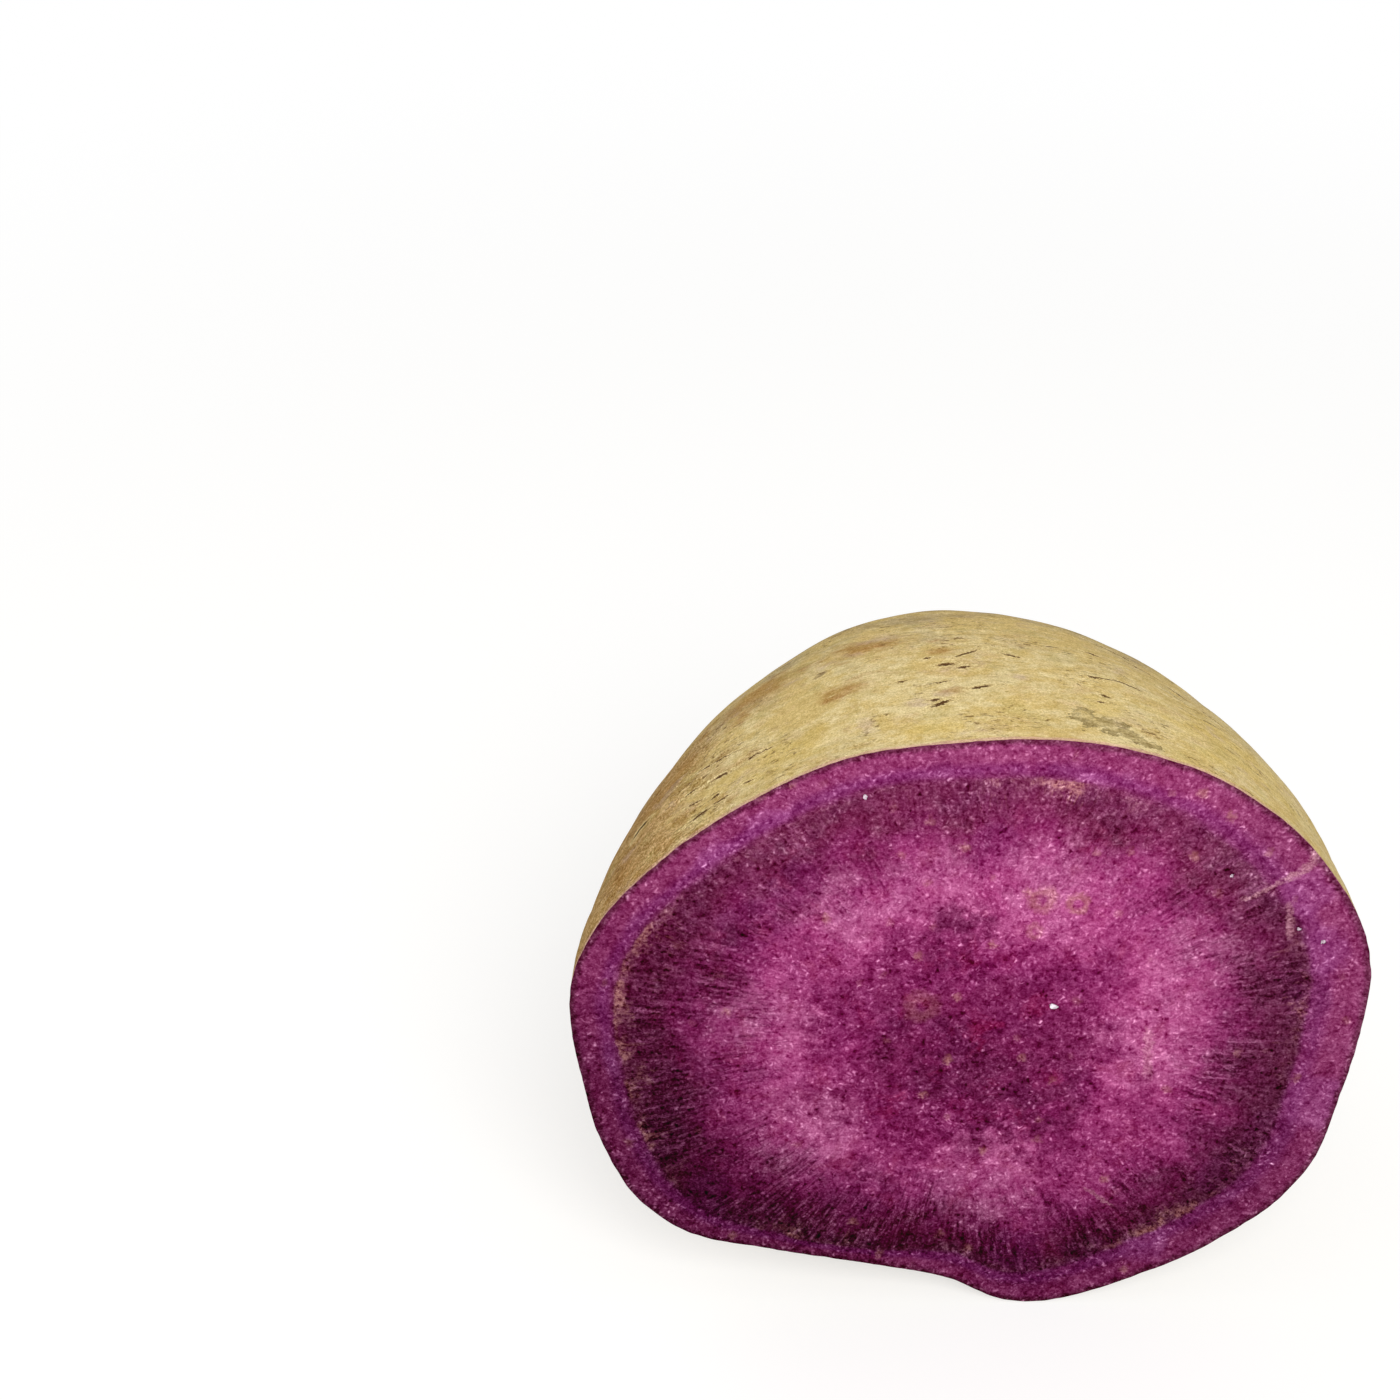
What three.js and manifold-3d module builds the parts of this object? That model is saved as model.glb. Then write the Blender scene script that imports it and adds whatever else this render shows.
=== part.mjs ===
// Half of a purple-fleshed sweet potato, cut square across its thickest part, lying on its side.
//
// It is one solid: a flat cut with an oval, slightly angular edge, a full belly behind the cut, a pointed root
// end and the short stub of the root's tail. A small flat under the belly is where it rests.
//
// Units are millimetres and +Z is up. The cut looks along -Y and leans back a little, +X is to the right of
// someone facing the cut, and the origin is on the resting surface, under the middle of the object's box.
import * as THREE from "three";
import { mergeVertices } from "three/addons/utils/BufferGeometryUtils.js";
import Module from "manifold-3d";

// Driving dimensions, in mm and degrees.
const BODY_DEPTH = 68; // from the cut to where the flesh runs out
const LEAN_DEG = 8; // how far the cut leans back from upright
const FOOT_DEPTH = 1; // taken off underneath to make the resting flat
const EDGE_STEPS = 96; // points round each section
const BODY_RINGS = 24; // sections along the body
const TAIL_RINGS = 4; // sections along the stub

// The cut's edge, anticlockwise from the right, as [across, up] from the middle of the cut. It is broad and
// rounded on top, flattened at the lower left, and lowest right of the middle.
const CUT_EDGE = [
  [40.8, 2.2], [41.0, 7.6], [40.0, 12.6], [37.5, 17.1], [31.3, 24.5], [24.4, 29.8], [17.1, 32.8],
  [10.4, 34.3], [3.0, 35.0], [-4.5, 34.5], [-13.1, 33.0], [-21.8, 29.3], [-31.3, 23.0], [-37.5, 16.4],
  [-42.3, 7.6], [-43.0, 1.8], [-41.7, -8.2], [-38.0, -18.6], [-35.1, -23.0], [-31.5, -26.2],
  [-27.6, -27.8], [-21.7, -28.6], [-10.6, -30.7], [0.4, -33.5], [8.9, -34.9], [15.6, -33.8],
  [22.3, -31.3], [28.9, -27.1], [35.2, -21.2], [37.8, -17.2], [39.0, -11.6], [40.2, -3.6],
];

// The low keel at the bottom of the cut: it starts steeply on its left, runs out to the right, and fades behind.
const KEEL = { startDeg: -91, crestDeg: -83, endDeg: -55, height: 1.7, length: 9 };

// The belly section that the cut's shape turns into: an oval with a few slow waves round it.
const BELLY = { halfWidth: 42.0, halfHeight: 36.0, reachedAt: 0.55 }; // reachedAt: as a share of the depth
const BELLY_WAVES = [
  { times: 3, size: 1.1, phase: 0 },
  { times: 4, size: 0.8, phase: 0.53 },
  { times: 5, size: 0.35, phase: 1.9 },
];

// How the sections shrink towards the root end, where the last stretch is pinched to a point, and how far their
// middle has wandered there.
const TAPER = { fullness: 2.78, roundness: 1.32, pinch: 0.3, pinchFrom: 0.7 };
const DRIFT = { across: 5.5, up: 2.5, power: 1.5 };

// The stub of the tail: the body flares into it, and it curls to one side as it thins.
const TAIL = { length: 8, rootRadius: 2.8, endRadius: 1.9, flare: 3.4, flareLength: 4.5, curl: 2.2, lift: 1.2 };

const { clamp, lerp, degToRad } = THREE.MathUtils;

const smooth = (low, high, x) => {
  const t = clamp((x - low) / (high - low), 0, 1);
  return t * t * (3 - 2 * t);
};

function keelHeight(angle) {
  const start = degToRad(KEEL.startDeg);
  const crest = degToRad(KEEL.crestDeg);
  const end = degToRad(KEEL.endDeg);
  return KEEL.height * smooth(start, crest, angle) * (1 - smooth(crest, end, angle));
}

// The cut's edge as evenly spaced points, each given by its angle and its distance from the middle.
function cutEdgePoints() {
  const corners = CUT_EDGE.map(([x, z]) => new THREE.Vector3(x, 0, z));
  const edge = new THREE.CatmullRomCurve3(corners, true, "centripetal");
  edge.arcLengthDivisions = 1200;
  const points = edge.getSpacedPoints(EDGE_STEPS).slice(0, EDGE_STEPS);
  return points.map((p) => ({ angle: Math.atan2(p.z, p.x), radius: Math.hypot(p.x, p.z) }));
}

function bellyRadius(angle) {
  const oval = 1 / Math.hypot(Math.cos(angle) / BELLY.halfWidth, Math.sin(angle) / BELLY.halfHeight);
  return BELLY_WAVES.reduce((r, wave) => r + wave.size * Math.cos(wave.times * angle + wave.phase), oval);
}

// The tail's own radius at a depth: wide where the body runs into it, then thinning along the stub.
function tailRadius(depth) {
  const along = depth - BODY_DEPTH;
  const stub = lerp(TAIL.rootRadius, TAIL.endRadius, clamp(along / TAIL.length, 0, 1));
  const flare = TAIL.flare * Math.exp(-Math.max(along + TAIL.flareLength, 0) / TAIL.flareLength);
  return (stub + flare) * smooth(0.6, 0.95, depth / BODY_DEPTH);
}

// The middle of the section at a depth: it drifts as the root grew, and then follows the stub's curl.
function sectionMiddle(depth) {
  const wander = Math.pow(Math.min(depth / BODY_DEPTH, 1), DRIFT.power);
  const curl = Math.pow(Math.max(depth - BODY_DEPTH, 0) / TAIL.length, 2);
  return new THREE.Vector3(
    DRIFT.across * wander + TAIL.curl * curl,
    depth,
    DRIFT.up * wander + TAIL.lift * curl,
  );
}

// One section at a depth behind the cut, in the object's own frame before it leans.
function section(edge, depth) {
  const share = Math.min(depth / BODY_DEPTH, 1);
  const rounded = Math.pow(1 - Math.pow(share, TAPER.fullness), 1 / TAPER.roundness);
  const scale = rounded * (1 - TAPER.pinch * smooth(TAPER.pinchFrom, 1, share));
  const towardsBelly = smooth(0, BELLY.reachedAt, share);
  const keelLeft = 1 - smooth(0, KEEL.length, depth);
  const middle = sectionMiddle(depth);
  return edge.map(({ angle, radius }) => {
    const flesh = scale * lerp(radius, bellyRadius(angle), towardsBelly) + keelLeft * keelHeight(angle);
    const reach = Math.hypot(flesh, tailRadius(depth));
    return new THREE.Vector3(reach * Math.cos(angle), 0, reach * Math.sin(angle)).add(middle);
  });
}

// The depths of all sections, closer together where the root end curves in.
function sectionDepths() {
  const body = Array.from({ length: BODY_RINGS + 1 }, (_, i) => {
    return BODY_DEPTH * Math.sin((i / BODY_RINGS) * (Math.PI / 2));
  });
  const tail = Array.from({ length: TAIL_RINGS }, (_, i) => BODY_DEPTH + (TAIL.length * (i + 1)) / TAIL_RINGS);
  return [...body, ...tail];
}

// A closed skin through the sections, with a fan over the cut and another over the stub's end.
function bodyGeometry() {
  const edge = cutEdgePoints();
  const rings = sectionDepths().map((depth) => section(edge, depth));
  const last = rings[rings.length - 1];
  const cutMiddle = new THREE.Vector3(0, 0, 0);
  const tailMiddle = last.reduce((sum, p) => sum.add(p), new THREE.Vector3()).divideScalar(last.length);
  const corners = [];
  for (let j = 0; j < EDGE_STEPS; j += 1) {
    const next = (j + 1) % EDGE_STEPS;
    corners.push(cutMiddle, rings[0][j], rings[0][next]);
    for (let i = 0; i + 1 < rings.length; i += 1) {
      corners.push(rings[i][j], rings[i + 1][j], rings[i + 1][next]);
      corners.push(rings[i][j], rings[i + 1][next], rings[i][next]);
    }
    corners.push(tailMiddle, last[next], last[j]);
  }
  return new THREE.BufferGeometry().setFromPoints(corners);
}

const wasm = await Module();
wasm.setup();

function toSolid(geometry) {
  geometry.deleteAttribute("normal");
  geometry.deleteAttribute("uv");
  const merged = mergeVertices(geometry, 1e-4);
  const triVerts = new Uint32Array(merged.index.array);
  return new wasm.Manifold(
    new wasm.Mesh({ numProp: 3, vertProperties: merged.attributes.position.array, triVerts }),
  );
}

function toGeometry(solid) {
  const { vertProperties, triVerts } = solid.getMesh();
  const geometry = new THREE.BufferGeometry();
  geometry.setAttribute("position", new THREE.BufferAttribute(vertProperties, 3));
  geometry.setIndex(new THREE.BufferAttribute(triVerts, 1));
  return geometry;
}

// Leans the body back, sinks it by the foot's depth, cuts the flat there and centres it over the origin.
function settle(geometry) {
  geometry.rotateX(degToRad(-LEAN_DEG));
  geometry.computeBoundingBox();
  geometry.translate(0, 0, -geometry.boundingBox.min.z - FOOT_DEPTH);
  const surface = new THREE.BoxGeometry(300, 300, 20).translate(0, 0, -10);
  const settled = toGeometry(toSolid(geometry).subtract(toSolid(surface)));
  settled.computeBoundingBox();
  const middle = settled.boundingBox.getCenter(new THREE.Vector3());
  settled.translate(-middle.x, -middle.y, -settled.boundingBox.min.z);
  settled.computeVertexNormals();
  return settled;
}

const skin = new THREE.MeshStandardMaterial({ color: 0xb39a5e, roughness: 0.85, metalness: 0 });
const half = new THREE.Mesh(settle(bodyGeometry()), skin);
half.name = "sweet_potato_half";

const part = new THREE.Group();
part.add(half);

export default part;
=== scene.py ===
"""Half of a purple-fleshed sweet potato, resting on its side on a pale floor.

The body is one closed mesh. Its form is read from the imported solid, section by section behind the cut, and
then gets what a real root has: slow lumps, fine wrinkles that run round it, a ribbed tail and a ragged edge
where the knife went through the skin. The skin and the flesh are two finishes on that mesh.
"""

import math

import bpy
import numpy as np
from bpy.props import FloatProperty, FloatVectorProperty, IntProperty, PointerProperty
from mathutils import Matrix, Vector, noise
from mathutils.bvhtree import BVHTree


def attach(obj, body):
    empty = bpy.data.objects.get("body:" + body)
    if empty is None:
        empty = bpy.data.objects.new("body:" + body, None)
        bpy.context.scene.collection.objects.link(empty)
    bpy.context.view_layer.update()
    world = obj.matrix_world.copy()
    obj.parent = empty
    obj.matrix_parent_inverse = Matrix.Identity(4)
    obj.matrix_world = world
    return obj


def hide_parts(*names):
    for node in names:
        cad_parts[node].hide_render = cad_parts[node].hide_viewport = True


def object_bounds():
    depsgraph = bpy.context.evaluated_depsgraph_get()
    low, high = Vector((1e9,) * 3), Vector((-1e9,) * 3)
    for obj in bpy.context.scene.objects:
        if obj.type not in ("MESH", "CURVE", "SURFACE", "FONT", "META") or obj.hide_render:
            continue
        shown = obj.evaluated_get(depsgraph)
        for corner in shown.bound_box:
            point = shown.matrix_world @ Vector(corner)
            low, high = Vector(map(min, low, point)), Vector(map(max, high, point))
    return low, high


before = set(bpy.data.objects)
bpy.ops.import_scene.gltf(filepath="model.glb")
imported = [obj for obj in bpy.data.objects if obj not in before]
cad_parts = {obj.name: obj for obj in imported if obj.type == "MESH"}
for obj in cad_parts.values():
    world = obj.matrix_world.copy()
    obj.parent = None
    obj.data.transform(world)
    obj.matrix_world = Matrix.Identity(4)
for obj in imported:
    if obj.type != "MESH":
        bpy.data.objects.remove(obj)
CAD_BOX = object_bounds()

bl_info = {
    "name": "Purple sweet potato half",
    "version": (1, 0, 0),
    "blender": (4, 5, 0),
    "location": "View3D > Sidebar > Sweet potato",
    "description": "Grows one half of a purple-fleshed sweet potato and sets up a plain studio for it",
    "category": "Add Mesh",
}

NODE = "sweet_potato_half"
MM = 0.001
# The growth centre, in millimetres to the right of the cut's middle and above it.
PITH = (2.5, -3.5)
# Where the skin's strip and the cut's disc lie on the map, and how much of the map a metre of the cut takes.
STRIP_CORNER = (0.01, 0.008)
STRIP_SIZE = (0.98, 0.38)
DISC_MIDDLE = (0.5, 0.698)
DISC_SCALE = 0.595 / (74 * MM)


def shade(red, green, blue):
    """A display colour, 0 to 255 a channel, as the linear colour that Blender's sockets hold."""

    def linear(value):
        value /= 255
        return value / 12.92 if value <= 0.04045 else ((value + 0.055) / 1.055) ** 2.4

    return linear(red), linear(green), linear(blue)


def darker(tint, factor):
    return tuple(channel * factor for channel in tint)


def colour(name, description, *tint):
    return FloatVectorProperty(
        name=name, description=description, default=shade(*tint), size=3, subtype="COLOR", min=0, max=1
    )


def length(name, description, millimetres):
    return FloatProperty(
        name=name, description=description, default=millimetres * MM, min=0, unit="LENGTH", precision=5
    )


def power(name, description, watts):
    return FloatProperty(name=name, description=description, default=watts, min=0, unit="POWER")


# ---- What a user would change ----


class BodySettings(bpy.types.PropertyGroup):
    around: IntProperty(
        name="Points round the cut", description="Mesh points round the cut's edge, a multiple of 8",
        default=520, min=64, max=640,
    )
    skin_step: length("Skin step", "Distance between mesh rings along the skin", 0.47)
    cut_step: length("Cut step", "Distance between mesh rings across the cut", 0.72)
    lump_height: length("Lump height", "How far the slow lumps rise and fall", 0.45)
    lump_size: length("Lump size", "Distance over which the lumps rise and fall", 17)
    wrinkle_height: length("Wrinkle height", "How far the wrinkles round the body rise and fall", 0.1)
    edge_rag: length("Edge raggedness", "How far the skin's cut edge wanders in and out", 0.07)
    tail_rib: length("Tail ribs", "How far the fibrous ribs along the tail stand out", 0.2)


class SkinSettings(bpy.types.PropertyGroup):
    straw: colour("Straw", "Palest skin", 228, 207, 152)
    gold: colour("Gold", "Most of the skin", 218, 190, 122)
    honey: colour("Honey", "Yellower skin near the cut", 220, 190, 108)
    tan: colour("Tan", "Thicker cork", 204, 170, 114)
    brown: colour("Brown", "Rubbed and weathered skin", 172, 125, 62)
    earth: colour("Earth", "Grey-brown mottling towards the root end", 134, 106, 74)
    mauve: colour("Mauve", "Flesh colour that shows faintly through thin skin", 198, 170, 150)
    olive: colour("Olive", "Greenish stains", 190, 172, 104)
    crack: colour("Crack", "Open cracks and pits", 78, 40, 12)
    flake: colour("Flake", "Raised lips beside the cracks", 240, 220, 158)
    scuff: colour("Scuff", "The rubbed patch behind the cut", 160, 140, 92)
    scar: colour("Scar", "Where rootlets grew", 164, 112, 60)
    lip: colour("Lip", "The thin edge of skin at the cut", 220, 172, 152)


class FleshSettings(bpy.types.PropertyGroup):
    core: colour("Core", "Middle of the cut", 122, 36, 84)
    bloom: colour("Bloom", "The broad bright ring half way out", 184, 76, 136)
    cloud: colour("Cloud", "Paler clouds in the bloom", 204, 112, 162)
    plain: colour("Plain", "Flesh between the bloom's clouds", 138, 44, 98)
    band: colour("Band", "The dark ring inside the cambium", 96, 8, 50)
    haze: colour("Haze", "Haze over the upper side of the dark ring", 116, 32, 76)
    cortex: colour("Cortex", "The band under the skin", 144, 52, 102)
    violet: colour("Violet", "Blue-violet stains", 100, 10, 80)
    lilac: colour("Lilac", "Paler violet clouds under the skin", 164, 78, 144)
    red: colour("Red", "Red stains", 136, 22, 70)
    soot: colour("Soot", "Brownish dark patches in the core", 66, 12, 42)
    shadow: colour("Shadow", "The deepest pigment", 48, 0, 28)
    ray: colour("Ray", "Pale rays in the outer ring", 186, 88, 146)
    starch: colour("Starch", "Starchy flecks and the pale cambium", 200, 136, 126)
    trace: colour("Trace", "Where finer roots ran through the flesh", 216, 156, 168)
    stained: colour("Stained", "Flesh beside the line of cork", 104, 30, 66)
    rim: colour("Rim", "The line of cork at the cut's edge", 76, 16, 36)
    grain: colour("Grain", "Loose grains of starch", 240, 226, 236)


class StudioSettings(bpy.types.PropertyGroup):
    floor: colour("Floor", "The floor under the object", 180, 179, 177)
    lens: FloatProperty(name="Lens", description="Camera's focal length", default=60, unit="CAMERA")
    elevation: FloatProperty(
        name="Elevation", description="How far the camera looks down", default=math.radians(34),
        subtype="ANGLE",
    )
    back: length("Back", "How far the camera stands from the cut's middle, along its view", 247.3)
    left: length("Left", "How far the camera stands to the left of the cut's middle", 29.1)
    above: length("Above", "How far the camera stands above the cut's middle, across its view", 35.3)
    key: power("Key light", "Power of the lamp above the camera", 5.0)
    fill: power("Fill light", "Power of the lamp behind the object", 0.8)
    lamp_size: length("Lamp size", "Width of each lamp", 600)
    sky: FloatProperty(name="Sky", description="Strength of the light from all round", default=0.5)


# ---- The body's form ----


class CutBody:
    """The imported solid, read as sections behind its cut."""

    def __init__(self, node):
        mesh = node.data
        self.tree = BVHTree.FromPolygons([v.co for v in mesh.vertices], [p.vertices for p in mesh.polygons])
        facing = [p for p in mesh.polygons if p.normal.y < -0.9]
        area = sum(p.area for p in facing)
        middle = sum((p.center * p.area for p in facing), Vector()) / area
        outward = sum((p.normal * p.area for p in facing), Vector()).normalized()
        self.middle = np.array(middle)
        self.back = -np.array(outward)
        self.right = np.array((1.0, 0.0, 0.0))
        self.up = np.cross(self.right, self.back)
        corners = np.array([v.co for v in mesh.vertices])
        self.length = ((corners - self.middle) @ self.back).max()

    def spokes(self, around):
        turn = np.arange(around) / around * 2 * np.pi
        return np.outer(np.cos(turn), self.right) + np.outer(np.sin(turn), self.up)

    def skin_point(self, degrees, behind):
        """A place on the skin, with its direction round the cut counted from the right and upwards."""
        turn = math.radians(degrees)
        spoke = self.right * math.cos(turn) + self.up * math.sin(turn)
        place = self.tree.ray_cast(Vector(self.middle + self.back * behind * MM), Vector(spoke))[0]
        if place is None:
            raise RuntimeError(f"the solid has no skin {behind} mm behind its cut at {degrees} degrees")
        offset = (np.array(place) - self.middle) / MM
        return tuple(float(offset @ axis) for axis in (self.right, self.up, self.back))

    def meridians(self, around, steps):
        """Points down the skin from the cut's edge to the tail's end: one row for each depth."""
        spokes = [Vector(spoke) for spoke in self.spokes(around)]
        depths = np.linspace(0.02 * MM, self.length - 0.05 * MM, steps)
        middle = self.middle + self.back * depths[0]
        rows = []
        for step, depth in zip(np.diff(depths, append=depths[-1]), depths):
            hits = [self.tree.ray_cast(Vector(middle), spoke)[0] for spoke in spokes]
            if None in hits:
                raise RuntimeError(f"the solid has no skin {depth / MM:.1f} mm behind its cut")
            rows.append(np.array(hits))
            middle = rows[-1].mean(axis=0) + self.back * step
        rows.append(np.broadcast_to(rows[-1].mean(axis=0), rows[-1].shape))
        return np.array(rows)


def even_steps(rows, count):
    """The rows' columns, each resampled at equal steps along its own length, with those lengths."""
    gaps = np.linalg.norm(np.diff(rows, axis=0), axis=2)
    run = np.concatenate([np.zeros((1, rows.shape[1])), np.cumsum(gaps, axis=0)])
    shares = np.linspace(0, 1, count)
    out = np.empty((count, rows.shape[1], 3))
    for j in range(rows.shape[1]):
        for axis in range(3):
            out[:, j, axis] = np.interp(shares * run[-1, j], run[:, j], rows[:, j, axis])
    return out, run[-1]


def softened(grid, along, around):
    """The grid of points with its facets rounded off; the first row and the last stay where they are."""
    for axis, spread in ((0, along), (1, around)):
        reach = int(3 * spread)
        weights = np.exp(-0.5 * (np.arange(-reach, reach + 1) / spread) ** 2)
        weights /= weights.sum()
        if axis == 0:
            first = 2 * grid[:1] - grid[reach:0:-1]
            last = 2 * grid[-1:] - grid[-2:-reach - 2:-1]
            padded = np.concatenate([first, grid, last])
        else:
            padded = np.concatenate([grid[:, -reach:], grid, grid[:, :reach]], axis=1)
        size = grid.shape[axis]
        shifts = [np.take(padded, np.arange(i, i + size), axis=axis) * w for i, w in enumerate(weights)]
        grid = sum(shifts)
    return grid


def smooth(low, high, value):
    t = np.clip((value - low) / (high - low), 0, 1)
    return t * t * (3 - 2 * t)


def grain(points, size, octaves=1, seed=0):
    """Smooth noise from about -1 to 1 at each point; its features are about the given size."""
    offset = Vector((seed * 17.3, seed * 5.1, seed * 11.7))
    flat = points.reshape(-1, 3) / size
    values = [noise.fractal(Vector(p) + offset, 1.0, 2.0, octaves) for p in flat]
    return np.array(values).reshape(points.shape[:-1])


def outward_normals(grid):
    round_it = np.roll(grid, -1, axis=1) - np.roll(grid, 1, axis=1)
    down_it = np.gradient(grid, axis=0)
    normals = np.cross(down_it, round_it)
    size = np.linalg.norm(normals, axis=2, keepdims=True)
    return normals / np.maximum(size, 1e-12)


def stretched(body, grid, run, squeeze):
    """Coordinates in which the body's girth is squeezed, so that noise in them streaks round it."""
    place = grid - body.middle
    return np.stack([place @ body.right / squeeze, run, place @ body.up / squeeze], axis=-1)


def inside_box(points, directions, wanted):
    """How far each point moves along its direction: as wanted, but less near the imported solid's box."""
    low, high = (np.array(corner) for corner in CAD_BOX)
    room = np.where(directions > 0, high - points, points - low) / np.maximum(np.abs(directions), 1e-6)
    room = np.maximum(room.min(axis=-1), 1e-9)
    return np.where(wanted > 0, room * (1 - np.exp(-np.maximum(wanted, 0) / room)), wanted)


def weathered(body, grid, run, settings):
    """The grid with its lumps, wrinkles, tail ribs and ragged edge."""
    normals = outward_normals(grid)
    normals[0] -= np.outer(normals[0] @ body.back, body.back)
    normals[0] /= np.linalg.norm(normals[0], axis=1, keepdims=True)
    full_run = run[-1].mean()
    on_tail = smooth(full_run - 14 * MM, full_run - 8 * MM, run)
    off_floor = smooth(0, 5 * MM, grid[..., 2])

    swell = settings.lump_height * grain(grid, settings.lump_size, 2, seed=1) * off_floor * (1 - on_tail)
    patches = smooth(-0.25, 0.35, grain(grid, 12 * MM, 2, seed=3))
    wrinkles = grain(stretched(body, grid, run, 6), 1.7 * MM, 3, seed=2)
    swell += settings.wrinkle_height * wrinkles * (0.35 + 0.65 * patches) * (0.2 + 0.8 * off_floor)
    facing = np.stack([normals @ body.right * 3, normals @ body.up * 3, run / (12 * MM)], axis=-1)
    swell += settings.tail_rib * grain(facing, 1, 2, seed=4) * on_tail
    near_edge = 1 - smooth(0, 2.5 * MM, run)
    swell += settings.edge_rag * grain(grid, 1.6 * MM, 3, seed=5) * near_edge
    swell = inside_box(grid, normals, swell)
    return grid + normals * swell[..., None]


# ---- The mesh ----


def ring_counts(rows):
    """How many points each row keeps: halved as often as the row's girth has halved."""
    girths = np.linalg.norm(np.roll(rows, -1, axis=1) - rows, axis=2).sum(axis=1)
    count = rows.shape[1]
    kept = []
    for girth in girths:
        while count % 2 == 0 and count > 32 and girth < 0.5 * girths[0] * count / rows.shape[1]:
            count //= 2
        kept.append(count)
    return kept


def stitched(outer, inner):
    """Faces between two rings that run the same way round; the inner one has as many points or half."""
    faces = []
    share = len(outer) // len(inner)
    for j, here in enumerate(inner):
        ahead = inner[(j + 1) % len(inner)]
        start = outer[j * share]
        end = outer[(j + 1) * share % len(outer)]
        if share == 1:
            faces.append((start, end, ahead, here))
        else:
            half = outer[j * share + 1]
            faces.extend([(start, half, here), (half, ahead, here), (half, end, ahead)])
    return faces


class MeshPlan:
    """Points, faces and point values gathered ring by ring."""

    VALUES = ("ring", "rim_gap", "along", "turn", "share")

    def __init__(self):
        self.points = []
        self.values = {name: [] for name in self.VALUES}
        self.faces = []

    def add_ring(self, points, **values):
        first = len(self.points)
        self.points.extend(points)
        for name in self.VALUES:
            self.values[name].extend(np.broadcast_to(values[name], len(points)))
        return list(range(first, len(self.points)))

    def add_faces(self, outer, inner, flip):
        faces = stitched(outer, inner)
        self.faces.extend([face[::-1] for face in faces] if flip else faces)

    def add_fan(self, ring, tip, flip):
        for j, here in enumerate(ring):
            ahead = ring[(j + 1) % len(ring)]
            self.faces.append((here, tip, ahead) if flip else (here, ahead, tip))


class GrowthRings:
    """Where a point of the cut lies: 0 in the middle, 1 on the cambium and 2 at the skin."""

    def __init__(self, body, edge, middle):
        turn = np.arange(len(edge)) / len(edge) * 2 * np.pi
        self.axes = np.stack([body.right, body.up], axis=-1)
        # The cortex is about 5 mm thick: more on the right, and pinched at the lower left.
        cortex = 5.1 + 0.9 * np.cos(turn) + 0.7 * np.cos(2 * turn) + 0.3 * np.sin(turn)
        pinched = np.exp(-(((np.degrees(turn) - 244) / 19) ** 2))
        self.cortex = (cortex - 2.4 * pinched) * MM
        reach = np.linalg.norm(edge - middle, axis=1)
        cambium = middle + (edge - middle) * (1 - self.cortex / reach)[:, None]
        self.pith = middle + self.axes @ (np.array(PITH) * MM)
        flat = (cambium - self.pith) @ self.axes
        angle = np.arctan2(flat[:, 1], flat[:, 0])
        order = np.argsort(angle)
        self.angles = angle[order]
        self.reaches = np.linalg.norm(flat, axis=1)[order]

    def place(self, points, keep, gap):
        flat = (points - self.pith) @ self.axes
        limit = np.interp(np.arctan2(flat[:, 1], flat[:, 0]), self.angles, self.reaches, period=2 * np.pi)
        cortex = self.cortex[keep]
        return np.where(gap > cortex, np.linalg.norm(flat, axis=1) / limit, 2 - gap / cortex)


def cut_relief(body, points, ring):
    """How deep each point of the cut lies: the knife's slow waver and the rings' different shrinkage."""
    waver = 0.5 + 0.5 * grain((points - body.middle) * np.array((0.5, 1, 1)), 15 * MM, 2, seed=6)
    sunk = 0.1 * np.exp(-(((ring - 1.0) / 0.05) ** 2))
    return (0.25 * waver * (1 - smooth(1.5, 2.0, ring)) + sunk) * MM


def skin_grid(body, settings):
    """Rows of points down the skin, with how far each point lies from the cut along the skin."""
    rows = body.meridians(settings.around, 400)
    mean_run = np.linalg.norm(np.diff(rows, axis=0), axis=2).sum(axis=0).mean()
    steps = int(mean_run / settings.skin_step)
    grid, runs = even_steps(rows, steps)
    grid = softened(grid, 2.8, settings.around / 160)
    run = np.linspace(0, 1, steps)[:, None] * runs[None, :]
    grid = weathered(body, grid, run, settings)
    grid[..., 2] = np.maximum(grid[..., 2], CAD_BOX[0][2])
    return grid, run


def add_skin(plan, grid, run):
    """Adds the skin from the cut's edge to the tail's end, and gives the points on the edge."""
    steps, around = run.shape
    turn = np.arange(around) / around
    rim = outer = None
    for i, count in enumerate(ring_counts(grid)[:-1]):
        keep = slice(None, None, around // count)
        share = i / (steps - 1)
        ring = plan.add_ring(
            grid[i, keep], ring=2, rim_gap=0, along=run[i, keep], turn=turn[keep], share=share
        )
        if outer is None:
            rim = ring
        else:
            plan.add_faces(outer, ring, flip=True)
        outer = ring
    tip = plan.add_ring(grid[-1, :1], ring=2, rim_gap=0, along=run[-1, :1], turn=0, share=1)[0]
    plan.add_fan(outer, tip, flip=True)
    return rim


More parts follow.
